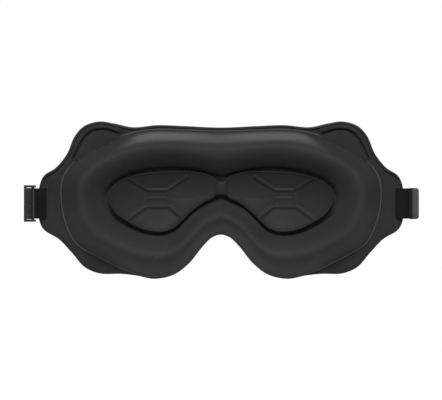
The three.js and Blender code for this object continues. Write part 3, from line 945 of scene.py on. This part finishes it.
@dataclass
class RingCushion:
    """The tall soft ring that seals round both eyes."""

    height: float = 17.0
    skin: float = 1.1
    stations: int = 560
    half_steps: int = 24
    crest: float = 0.47
    outer_softness: float = 1.15
    inner_softness: float = 0.9
    inner_reach: float = 1.6
    # Over the nose the inner edge reaches in less, in a stretch this wide to each side.
    nose_share: float = 0.3
    nose_width: float = 25.0
    # Steps across the arch crowd towards its crest, the more so the lower this is.
    step_spread: float = 0.8
    core_gap: float = 0.3
    # Each pattern's bump length and height, and its shift.
    unevenness: tuple[tuple[float, float, float], ...] = ((26, 0.6, 7.0), (9, 0.15, 1.5))
    # Two short creases in the fabric, on the wearer's left below the eye.
    creases: tuple[tuple[tuple[float, float], tuple[float, float]], ...] = (
        ((48.5, -38.0), (41.5, -34.0)), ((37.8, -31.8), (35.3, -29.6)),
    )
    crease_width: float = 0.55
    crease_depth: float = 0.55
    hem_radius: float = 0.6
    hem_inset: float = 0.35
    hem_rise: float = 0.35
    # The hem thins where it runs up on to the ear pads, above and outside this place.
    ear_start: tuple[float, float] = (62.0, 22.0)
    ear_fade: float = 5.0
    ear_thinning: float = 0.7
    seat_gap: float = 0.35

    def edges(self) -> tuple[Grid, Grid]:
        """The matched outer and inner edges, both smooth."""
        pairs = np.concatenate([both_halves(RING_OUTER), both_halves(RING_INNER)], axis=1)
        even = rounded(pairs, self.stations)
        outer, inner = even[:, :2], even[:, 2:]
        way = (inner - outer) / np.linalg.norm(inner - outer, axis=1)[:, None]
        reach = self.inner_reach * (self.nose_share + (1 - self.nose_share)
                                    * smooth(np.abs(inner[:, :1]) / self.nose_width))
        return outer, inner + reach * way

    def arch(self) -> tuple[Grid, Grid]:
        """The arched section: a soft outer slope up to the crest, then a fuller inner one.

        Returns:
            The shares across the ring, and the shares of its height.
        """
        way = np.linspace(-1, 1, 2 * self.half_steps + 1)
        way = np.sign(way) * np.abs(way) ** self.step_spread
        climb = 1 - np.abs(way)
        across = np.where(way < 0, self.crest * climb, 1 - (1 - self.crest) * climb)
        softness = np.where(way < 0, self.outer_softness, self.inner_softness)
        return across[None, :], np.sin(np.pi / 2 * climb)[None, :] ** softness

    def section(self, inset: float) -> Grid:
        """The arched surface, from the outer edge over the crest to the inner edge.

        Args:
            inset: How far inside the cushion's own surface.

        Returns:
            The points, as stations by steps by 3.
        """
        outer, inner = self.edges()
        width = np.linalg.norm(inner - outer, axis=1)[:, None]
        across, rise = self.arch()
        share = (inset + across * (width - 2 * inset)) / width
        x = outer[:, :1] + share * (inner[:, :1] - outer[:, :1])
        z = outer[:, 1:] + share * (inner[:, 1:] - outer[:, 1:])
        depth = self.seat_gap + rise * (self.height - inset)
        points = np.stack([x, BODY.seat(x, z) + depth, z], axis=2)
        bump = sum(ripple(points, *pattern) for pattern in self.unevenness)
        points[:, :, 1] += bump * rise
        for line in self.creases:
            dent = np.exp(-((line_distance(x, z, line) / self.crease_width) ** 2))
            points[:, :, 1] -= self.crease_depth * dent
        return points

    def build(self) -> None:
        """Builds the fabric skin with its sewn lip, and the foam core inside it."""
        skin_rows = [self.section(0.0)[:, 1:], self.section(self.skin)[:, ::-1][:, :-1]]
        skin = loop_of("ring_cushion", np.concatenate(skin_rows, axis=1), turn=True)
        shade_by_angle(skin, 60)
        settle(skin, CUSHION_KNIT, "cushion_fabric", "mask", "cushion_cover")
        core = loop_of("ring_cushion_foam", self.section(self.skin + self.core_gap), turn=True)
        settle(core, MEMORY_FOAM, "foam", "mask", "cushion_core")
        self.build_hem()

    def build_hem(self) -> None:
        """Builds the cut edge that shows round the ring, which sinks into the pads at the ears; its
        lighter colour is a painted highlight.
        """
        outer, inner = self.edges()
        way = (inner - outer) / np.linalg.norm(inner - outer, axis=1)[:, None]
        x, z = (outer + way * self.hem_inset).T
        start_x, start_z = self.ear_start
        at_ear = (smooth((z - start_z) / self.ear_fade)
                  * smooth((np.abs(x) - start_x) / self.ear_fade))
        radius = self.hem_radius * (1 - self.ear_thinning * at_ear)
        lift = self.seat_gap + self.hem_rise * radius
        path = np.stack([x, BODY.seat(x, z) + lift, z], axis=1)
        hem = bead("ring_hem", path, radius)
        # Painted highlight: the hem's colour is lighter than the cushion's.
        settle(hem, HEM_HIGHLIGHT, "cushion_fabric", "mask")


@dataclass
class EyeCups:
    """The two dished cups with their embossed ribs, and the strip that joins them."""

    thick: float = 1.0
    dish: float = 4.5
    seat_gap: float = 0.35
    centre: tuple[float, float] = (38.0, 3.0)
    rib_height: float = 0.9
    rib_width: float = 1.05
    bead_height: float = 0.35
    bead_width: float = 0.55
    lip_radius: float = 0.22
    lip_lift: float = 0.1
    lip_ring: int = 2
    dish_power: float = 2.5
    ring_spread: float = 1.35
    edge_thinning: float = 0.5
    edge_fade: float = 0.2
    relief_fade: float = 2.0
    faint_share: float = 0.4
    panel_hollow: float = 0.35
    panel_reach: float = 6.0
    deep_inside: float = 20.0
    bridge_half_width: float = 4.2
    bridge_half_height: float = 4.6
    bridge_flare: float = 1.4
    bridge_z: float = 10.0
    bridge_y: float = 5.5
    bridge_thick: float = 2.0
    stations: int = 300
    rings: int = 70
    # The ribs run from a middle panel's corners to the rim: each is two [x, z] points.
    ribs: tuple[tuple[tuple[float, float], tuple[float, float]], ...] = (
        ((35.6, 8.7), (48.2, 8.7)), ((34.4, -2.2), (49.6, -2.2)),
        ((35.6, 8.7), (22.5, 17.5)), ((34.4, -2.2), (24.0, -10.6)),
        ((49.6, -2.2), (63.0, -11.8)), ((48.2, 8.7), (62.0, 17.0)),
    )
    faint_ribs: tuple[tuple[tuple[float, float], tuple[float, float]], ...] = (
        ((35.6, 8.7), (34.4, -2.2)), ((48.2, 8.7), (49.6, -2.2)), ((35.0, 3.4), (49.0, 3.4)),
    )

    def relief(self, x: Grid, z: Grid) -> Grid:
        """The embossed ribs, and the slight fullness of the panels between them."""
        found = np.zeros_like(x)
        nearest = np.full_like(x, 99.0)
        for lines, share in ((self.ribs, 1.0), (self.faint_ribs, self.faint_share)):
            for line in lines:
                away = line_distance(x, z, line)
                nearest = np.minimum(nearest, away)
                rise = share * np.exp(-((away / self.rib_width) ** 2))
                found = np.maximum(found, rise)
        between = smooth((self.panel_reach - nearest) / self.panel_reach)
        return self.rib_height * found - self.panel_hollow * between

    def build_cup(self, side: Side) -> None:
        """Builds one cup.

        Args:
            side: The wearer's side.
        """
        rim = rounded(CUP_RIM, self.stations)
        share = 1 - np.linspace(0, 1, self.rings + 1)[:, None] ** self.ring_spread
        x = self.centre[0] + share * (rim[:, 0] - self.centre[0])
        z = self.centre[1] + share * (rim[:, 1] - self.centre[1])
        floor = BODY.wrap(x) + BODY.lining_back(0 * x, self.deep_inside + 0 * x) + self.seat_gap
        floor = floor + self.dish * share ** self.dish_power
        inside = (1 - share) * np.hypot(*(rim - self.centre).T)
        edge = 1 - self.edge_thinning * np.exp(-inside / self.edge_fade)
        roll = self.bead_height * np.exp(-(((inside - self.bead_width) / self.bead_width) ** 2))
        relief = self.relief(x, z) * smooth(inside / self.relief_fade)
        top = floor + self.thick * edge + relief + roll
        x = x * side.value
        cup = disc(f"eye_cup_shell_{side.word}", np.stack([x, floor, z], axis=2),
                   np.stack([x, top, z], axis=2))
        shade_by_angle(cup, 70)
        settle(cup, CUP_KNIT, "cup_fabric", "mask", f"eye_cup_{side.word}")
        # Painted highlight: the lip bead's colour is lighter than the cup's.
        lip = np.stack([x, top + self.lip_lift, z], axis=2)[self.lip_ring]
        line = bead(f"cup_lip_{side.word}", lip, np.full(len(lip), self.lip_radius))
        settle(line, CUP_LIP_HIGHLIGHT, "cup_fabric", "mask")

    def build(self) -> None:
        """Builds both cups and the bridge between them."""
        for side in Side:
            self.build_cup(side)
        self.build_bridge()

    def build_bridge(self) -> None:
        """Builds the low saddle between the cups."""
        across = np.linspace(-1, 1, 25)
        turn = np.linspace(0, 2 * np.pi, 32, endpoint=False)
        rows = []
        for a in across:
            half_height = self.bridge_half_height + self.bridge_flare * a * a
            middle_z = self.bridge_z + 0.6 * a * a
            round_z = np.sign(np.cos(turn)) * np.abs(np.cos(turn)) ** 0.5
            round_y = np.sign(np.sin(turn)) * np.abs(np.sin(turn)) ** 0.5
            x = self.bridge_half_width * a + 0 * turn
            y = BODY.wrap(x) + self.bridge_y + self.bridge_thick * round_y + 0.5 * a * a
            rows.append(np.stack([x, y, middle_z + half_height * round_z], axis=1))
        bridge = loop_of("cup_bridge_pad", np.array(rows), turn=False)
        shade_by_angle(bridge, 60)
        settle(bridge, CUP_KNIT, "cup_fabric", "mask", "cup_bridge")


# ---------------------------------------------------------------- straps


@dataclass
class Strap:
    """One elastic half strap, looped round its bar, with its stitches and its fastener."""

    side: Side
    width: float = 20.0
    thick: float = 1.2
    loop_radius: float = 3.05
    exit_degrees: float = 50.0
    nip: float = 9.0
    run_x: float = 127.0
    run_end: float = 190.0
    layer_gap: float = 1.55
    cords: int = 12
    selvedge_thinning: float = 0.55
    selvedge_power: int = 14
    cord_relief: float = 0.12
    thread_radius: float = 0.22
    patch_gap: float = 0.5
    patch_thick: float = 0.9
    patch_width: float = 19.0
    tack_rows: int = 22
    tack_width: float = 17.0
    bar: Grid = field(init=False)

    def __post_init__(self) -> None:
        """Reads the bar's place from the joint that the strap swings on."""
        name = f"{self.side.word}_strap_swing"
        joints = frame["record"]["behaviour"]["joints"]
        place = next(j["pos_m"] for j in joints if j["name"] == name)
        self.bar = np.array([abs(place[0]), place[1]]) / MM

    def from_bar(self, along: float, across: float) -> Grid:
        """A point near the bar, along the way the strap leaves it and across that way."""
        turn = math.radians(self.exit_degrees)
        way = np.array([math.cos(turn), math.sin(turn)])
        outer = np.array([math.sin(turn), -math.cos(turn)])
        return self.bar + along * way + across * outer

    def bar_turn(self) -> Grid:
        """The turn round the bar, from the inner layer to the outer one."""
        start = math.radians(self.exit_degrees) + math.pi / 2
        turns = np.linspace(start, start + math.pi, 25)
        return self.bar + self.loop_radius * np.stack([np.cos(turns), np.sin(turns)], axis=1)

    def run(self) -> Grid:
        """The long run, from where the layers meet to the free end."""
        points = [self.from_bar(self.nip, self.layer_gap / 2), (self.run_x - 0.5, 22.5),
                  (self.run_x, 27), (self.run_x, 45), (self.run_x, 70), (self.run_x, 110),
                  (self.run_x - 1.2, 140), (self.run_x - 3, 166), (self.run_x - 6, self.run_end)]
        return rounded(points, 150, closed=False)

    def sideways(self, path: Grid, distance: float) -> Grid:
        """A path moved to the right of its own direction."""
        way = np.gradient(path, axis=0)
        way /= np.linalg.norm(way, axis=1)[:, None]
        return path + distance * np.stack([way[:, 1], -way[:, 0]], axis=1)

    def tape(self, name: str, path: Grid, thick: float, width: float,
             cords: int = 0) -> bpy.types.Object:
        """Makes a flat tape on edge, with its own map.

        Args:
            name: The piece's name.
            path: The tape's middle line, as points in x and y.
            thick: Its thickness.
            width: Its width, along z.
            cords: How many raised cords run along each face.

        Returns:
            The new object.
        """
        across = 2 * max(cords * 4, 12)
        face = np.linspace(-1, 1, across + 1)
        swell = 1 - self.selvedge_thinning * np.abs(face) ** self.selvedge_power
        if cords:
            swell = swell * (1 + self.cord_relief * (np.cos(np.pi * face * cords) - 1) / 2)
        half = 0.5 * thick * swell
        section = np.concatenate([np.stack([half, face], 1), np.stack([-half, face], 1)[::-1]])
        way = np.gradient(path, axis=0)
        way /= np.linalg.norm(way, axis=1)[:, None]
        normal = np.stack([way[:, 1], -way[:, 0]], axis=1)
        flat = path[:, None, :] + section[None, :, :1] * normal[:, None, :]
        z = np.broadcast_to(section[None, :, 1] * width / 2, flat.shape[:2])
        rows = np.stack([flat[:, :, 0] * self.side.value, flat[:, :, 1], z], axis=2)
        made = loop_of(name, rows, turn=False)
        self.add_map(made, path)
        shade_by_angle(made, 60)
        return made

    def patch(self, name: str, path: Grid, face: int) -> bpy.types.Object:
        """Makes a fastener's patch on one face of the strap: 1 is the outer, -1 the inner."""
        middle = self.sideways(path, face * (self.thick / 2 + self.patch_gap))
        return self.tape(name, middle, self.patch_thick, self.patch_width)

    def add_map(self, piece: bpy.types.Object, path: Grid) -> None:
        """Gives a tape a map with u along it and v across it, in metres.

        Args:
            piece: The tape.
            path: Its middle line.
        """
        steps = np.linalg.norm(np.diff(path, axis=0), axis=1)
        lengths = np.concatenate([[0], np.cumsum(steps)])
        mesh = piece.data
        places = np.zeros(len(mesh.vertices) * 3)
        mesh.vertices.foreach_get("co", places)
        places = places.reshape(-1, 3) / MM
        flat = np.stack([places[:, 0] * self.side.value, places[:, 1]], axis=1)
        gaps = np.linalg.norm(flat[:, None, :] - path[None, :, :], axis=2)
        along = lengths[np.argmin(gaps, axis=1)]
        layer = mesh.uv_layers.new(name="tape")
        for loop in mesh.loops:
            v = loop.vertex_index
            layer.data[loop.index].uv = (along[v] * MM, places[v, 2] * MM)

    def stitches(self, name: str, path: Grid) -> bpy.types.Object:
        """Makes a bar of zigzag stitches across the strap's face.

        Args:
            name: The piece's name.
            path: Two points: the bar's two long edges, in x and y.

        Returns:
            The new object.
        """
        curve = bpy.data.curves.new(name, "CURVE")
        curve.dimensions = "3D"
        curve.bevel_depth = self.thread_radius * MM
        curve.bevel_resolution = 2
        spline = curve.splines.new("POLY")
        turns = 2 * self.tack_rows
        spline.points.add(turns)
        for i in range(turns + 1):
            x, y = path[i % 2]
            z = (i / turns - 0.5) * self.tack_width
            spline.points[i].co = (self.side.value * x * MM, y * MM, z * MM, 1)
        drawn = bpy.data.objects.new(name, curve)
        bpy.context.scene.collection.objects.link(drawn)
        pick(drawn)
        bpy.ops.object.convert(target="MESH")
        made = bpy.context.active_object
        made.data.polygons.foreach_set("use_smooth", [True] * len(made.data.polygons))
        return made


@dataclass
class LeftStrap(Strap):
    """The adjustable half, whose return layer is sewn round the slider's rod."""

    side: Side = Side.LEFT
    return_thick: float = 1.1
    rod_radius: float = 1.0

    def build(self) -> None:
        """Builds the tape, its return layer, the slider, its stitches and the hook patch."""
        run = self.run()
        meet = self.from_bar(self.nip - 0.6, -self.layer_gap / 2)
        start = rounded([meet, self.from_bar(4, -self.layer_gap * 0.95), *self.bar_turn()[:3]],
                        12, closed=False)
        whole = self.tape("elastic_left",
                          np.concatenate([start[:-1], self.bar_turn()[2:], run[1:]]),
                          self.thick, self.width, cords=self.cords)
        settle(whole, ELASTIC, "webbing", "left_strap", "strap_left")
        centre, half = self.slider_place()
        loop = self.return_thick / 2 + self.rod_radius + 0.25
        rod_x = self.run_x - self.layer_gap - loop
        turns = np.linspace(0, 1.6 * np.pi, 26)
        rod = np.array([rod_x, centre])
        around = rod + loop * np.stack([np.cos(turns), np.sin(turns)], axis=1)
        lead = rounded([meet, (rod_x + loop - 0.5, 23), (rod_x + loop, 27),
                        (rod_x + loop, centre)], 30, closed=False)
        back = self.tape("elastic_left_return", np.concatenate([lead[:-1], around]),
                         self.return_thick, self.width, cords=self.cords)
        dress(back, ELASTIC)
        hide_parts("strap_left_return")
        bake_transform(back)
        Slider(rod_x=rod_x, run_x=self.run_x, centre=centre, half=half).build()
        face = rod_x + loop - self.return_thick / 2 - 0.2
        tack = self.stitches("slider_stitches",
                             np.array([(face, centre - half), (face, centre - half + 2)]))
        settle(tack, THREAD, "thread", "strap_slider", "bartack_left")
        patch = self.patch("hook_fastener", run[-46:], -1)
        settle(patch, HOOKS, "hook_tape", "left_strap", "hook_patch")

    def slider_place(self) -> tuple[float, float]:
        """The slider's middle and half length along the strap, from its CAD node."""
        low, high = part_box("slider")
        return (low[1] + high[1]) / 2 / MM, (high[1] - low[1]) / 2 / MM


@dataclass
class RightStrap(Strap):
    """The fixed half, sewn back on itself."""

    side: Side = Side.RIGHT

    def build(self) -> None:
        """Builds the tape with its sewn tail, the stitches and the loop patch."""
        run = self.run()
        tail = self.sideways(run[:14], -self.layer_gap)[::-1]
        path = rounded(np.concatenate([tail[::4], self.bar_turn()[::3], run[4::8], run[-1:]]),
                       230, closed=False)
        whole = self.tape("elastic_right", path, self.thick, self.width, cords=self.cords)
        settle(whole, ELASTIC, "webbing", "right_strap", "strap_right")
        face = self.sideways(run, self.thick / 2 + 0.12)
        tack = self.stitches("loop_stitches", face[[4, 6]])
        settle(tack, THREAD, "thread", "right_strap", "bartack_right")
        patch = self.patch("loop_fastener", run[-56:], 1)
        settle(patch, NAP, "loop_tape", "right_strap", "loop_patch")


@dataclass
class Slider:
    """The moulded slide: a round rod inside the strap and two flat bars outside it."""

    rod_x: float
    run_x: float
    centre: float
    half: float
    rod_radius: float = 1.0
    inside: float = 10.5
    rail: float = 1.5
    bar: float = 2.0
    thick: float = 1.5
    strap_half: float = 0.9
    past: float = 9.0
    edge_round: float = 0.35

    def block(self, low: Sequence[float], high: Sequence[float]) -> bpy.types.Object:
        """Adds a block between two corners, in millimetres."""
        middle = [(a + b) / 2 * MM for a, b in zip(low, high)]
        bpy.ops.mesh.primitive_cube_add(size=MM, location=middle)
        made = bpy.context.active_object
        made.scale = [b - a for a, b in zip(low, high)]
        return made

    def build(self) -> None:
        """Joins the rails, bars and rod, and rounds their edges."""
        bpy.ops.object.select_all(action="DESELECT")
        near, far = self.centre - self.half, self.centre + self.half
        face = self.run_x + self.strap_half
        top = self.inside + self.rail
        whole = self.block((self.rod_x - 2 * self.rod_radius, near, -top),
                           (face + self.thick, far, top))
        room = self.block((self.rod_x - self.past, near - self.past, -self.inside),
                          (face, far + self.past, self.inside))
        window = self.block((self.rod_x - self.past, near + self.bar, -self.inside),
                            (face + self.past, far - self.bar, self.inside))
        for cutter in (room, window):
            combine(whole, cutter, "DIFFERENCE")
        place_in_mesh(whole)
        bpy.ops.mesh.primitive_cylinder_add(
            vertices=48, radius=self.rod_radius * MM, depth=(2 * self.inside + 1) * MM,
            location=(self.rod_x * MM, self.centre * MM, 0))
        combine(whole, bpy.context.active_object, "UNION")
        soft = whole.modifiers.new("edges", "BEVEL")
        soft.width = self.edge_round * MM
        soft.segments = 3
        soft.limit_method = "ANGLE"
        soft.angle_limit = math.radians(50)
        apply_modifiers(whole)
        whole.name = "strap_slide"
        shade_by_angle(whole, 40)
        settle(whole, ACETAL, "slider_plastic", "strap_slider", "slider")


@dataclass
class SlotStitching:
    """The line of stitches beside each strap slot, on the lining."""

    x: float = 113.3
    half_height: float = 12.0
    stitch: float = 1.7
    gap: float = 0.5
    thread: float = 0.3

    def build(self) -> None:
        """Builds one row of stitches on each wing."""
        for side in Side:
            count = int(2 * self.half_height / (self.stitch + self.gap))
            middle = (count - 1) / 2
            pieces = []
            bpy.ops.object.select_all(action="DESELECT")
            for i in range(count):
                z = (i - middle) * (self.stitch + self.gap)
                y = BODY.wrap(self.x) + BODY.lining_back(np.array(self.x), np.array(9.0)) + 0.2
                bpy.ops.mesh.primitive_uv_sphere_add(
                    segments=16, ring_count=10, radius=self.thread * MM,
                    location=(side.value * self.x * MM, float(y) * MM, z * MM))
                made = bpy.context.active_object
                made.scale = (1.0, 0.8, self.stitch / self.thread / 2)
                pieces.append(made)
            for made in pieces:
                made.select_set(True)
            bpy.context.view_layer.objects.active = pieces[0]
            bpy.ops.object.join()
            row = bpy.context.active_object
            row.name = f"slot_stitches_{side.word}"
            place_in_mesh(row)
            bpy.ops.object.select_all(action="DESELECT")
            row.data.polygons.foreach_set("use_smooth", [True] * len(row.data.polygons))
            settle(row, THREAD, "thread", "mask", f"slot_trim_{side.word}")


# ---------------------------------------------------------------- the studio


@dataclass
class Studio:
    """A pale floor, soft light and the camera."""

    distance: float = 6.0
    frame_width: float = 0.292
    floor_gap: float = 0.1
    room: float = 0.22
    key: float = 4.2
    key_rise: float = 0.8
    softness: float = 32.0

    def build(self) -> None:
        """Builds the floor, the lights, the world and the camera."""
        low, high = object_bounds()
        self.add_camera((low[2] + high[2]) / 2)
        bpy.ops.mesh.primitive_plane_add(size=6, location=(0, 0, low[2] - self.floor_gap))
        floor = bpy.context.active_object
        floor.name = "studio_floor"
        place_in_mesh(floor)
        floor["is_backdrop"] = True
        paper = bpy.data.materials.new("pale_paper")
        paper.use_nodes = True
        shader = paper.node_tree.nodes["Principled BSDF"]
        shader.inputs["Base Color"].default_value = srgb("b8b8b8")
        shader.inputs["Roughness"].default_value = 0.9
        floor.data.materials.append(paper)
        bpy.context.scene.view_settings.view_transform = "Standard"
        self.add_world()
        self.add_light("cup_side_key", (0.0, 1.0, self.key_rise), self.key)
        self.add_light("front_side_key", (0.0, -1.0, self.key_rise), self.key)

    def add_world(self) -> None:
        """Adds a white room, whose walls look brighter than the light that they give."""
        world = bpy.data.worlds.new("studio")
        bpy.context.scene.world = world
        world.use_nodes = True
        tree = world.node_tree
        tree.nodes.clear()
        seen = add_node(tree, "ShaderNodeLightPath").outputs["Is Camera Ray"]
        strength = add_node(tree, "ShaderNodeMapRange",
                            {"Value": seen, "To Min": self.room, "To Max": 1.0})
        walls = add_node(tree, "ShaderNodeBackground",
                         {"Color": (1.0, 1.0, 1.0, 1.0), "Strength": strength.outputs[0]})
        out = add_node(tree, "ShaderNodeOutputWorld")
        tree.links.new(walls.outputs[0], out.inputs["Surface"])

    def add_camera(self, height: float) -> None:
        """Adds the camera, straight on to the cup side.

        Args:
            height: The height of the object's middle.
        """
        made = bpy.data.cameras.new("camera")
        made.lens = made.sensor_width * self.distance / self.frame_width
        made.clip_end = 100
        camera = bpy.data.objects.new("camera", made)
        bpy.context.scene.collection.objects.link(camera)
        camera.location = (0, self.distance, height)
        camera.rotation_euler = (math.pi / 2, 0, math.pi)
        bpy.context.scene.camera = camera

    def add_light(self, name: str, place: Sequence[float], power: float) -> None:
        """Adds one broad light that shines on the middle.

        Args:
            name: Its name.
            place: The direction that it comes from.
            power: Its power in watts per square metre.
        """
        lamp = bpy.data.lights.new(name, "SUN")
        lamp.angle = math.radians(self.softness)
        lamp.energy = power
        made = bpy.data.objects.new(name, lamp)
        bpy.context.scene.collection.objects.link(made)
        made.location = place
        made.rotation_euler = (-Vector(place)).to_track_quat("-Z", "Y").to_euler()


def main() -> None:
    """Builds the mask and its studio."""
    Studio().build()
    for part in (FrontShell(), RimAndEars(), RingCushion(), EyeCups(), LeftStrap(),
                 RightStrap(), SlotStitching()):
        part.build()


if __name__ == "__main__":
    main()
